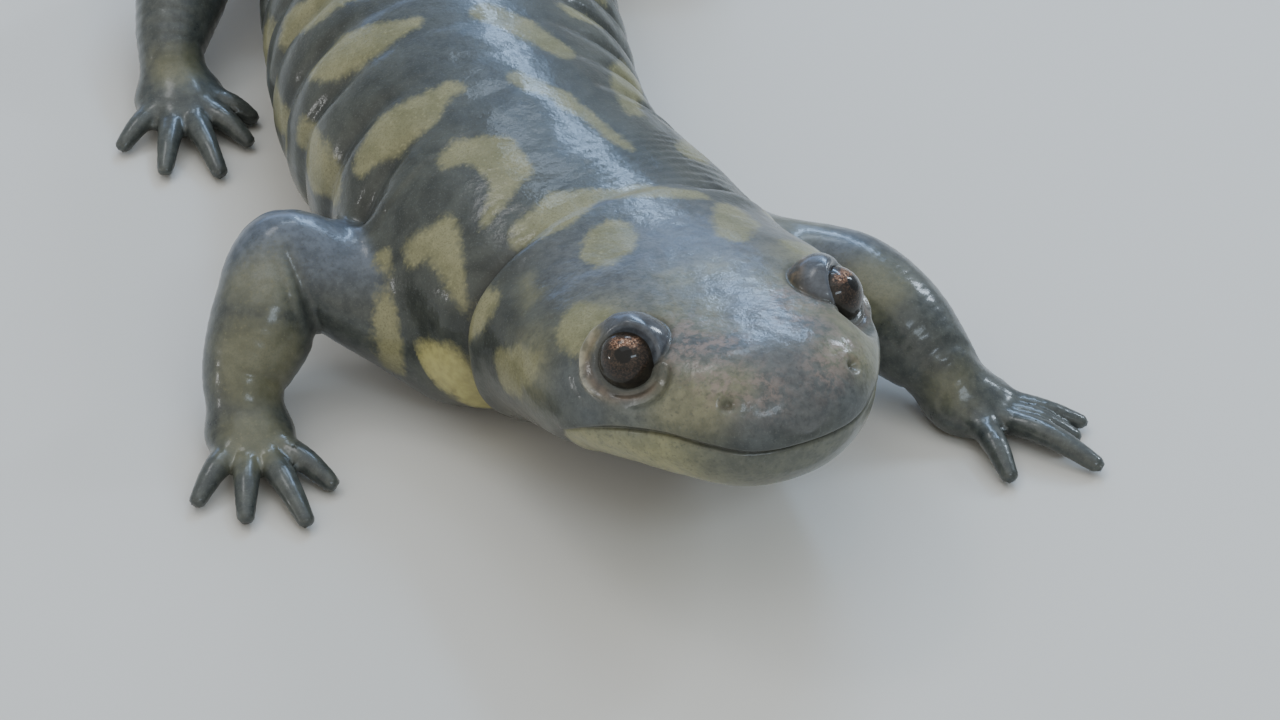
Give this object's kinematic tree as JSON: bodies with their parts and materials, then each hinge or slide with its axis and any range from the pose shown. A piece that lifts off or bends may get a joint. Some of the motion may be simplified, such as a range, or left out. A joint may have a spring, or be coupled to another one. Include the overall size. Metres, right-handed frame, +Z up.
{
  "type": "tiger salamander",
  "caption": "Still model of an adult barred tiger salamander that lies on its belly with its head raised and turned and its tail laid out behind.",
  "frame": {"origin": "middle of the animal's box at floor level", "axes": "+Y back along the animal towards its tail, which is its longest extent, +Z up, +X towards the animal's left side"},
  "size_m": [0.0709, 0.1886, 0.0186],
  "materials": {
    "skin": "smooth moist skin, slate grey with olive-tan bars and blotches, pale yellow-olive jaw, wet gloss",
    "eye": "very dark brown iris with copper flecks under a clear, glossy cornea"
  },
  "bodies": {
    "root": {"head": "skin", "lower_jaw": "skin", "eye_left": "eye", "eye_right": "eye", "neck": "skin", "torso_front": "skin", "torso_rear": "skin", "tail_base": "skin", "tail_middle": "skin", "tail_tip": "skin", "upper_arm_right": "skin", "forearm_right": "skin", "hand_right": "skin", "upper_arm_left": "skin", "forearm_left": "skin", "hand_left": "skin", "thigh_right": "skin", "shank_right": "skin", "foot_right": "skin", "thigh_left": "skin", "shank_left": "skin", "foot_left": "skin"}
  },
  "joints": []
}
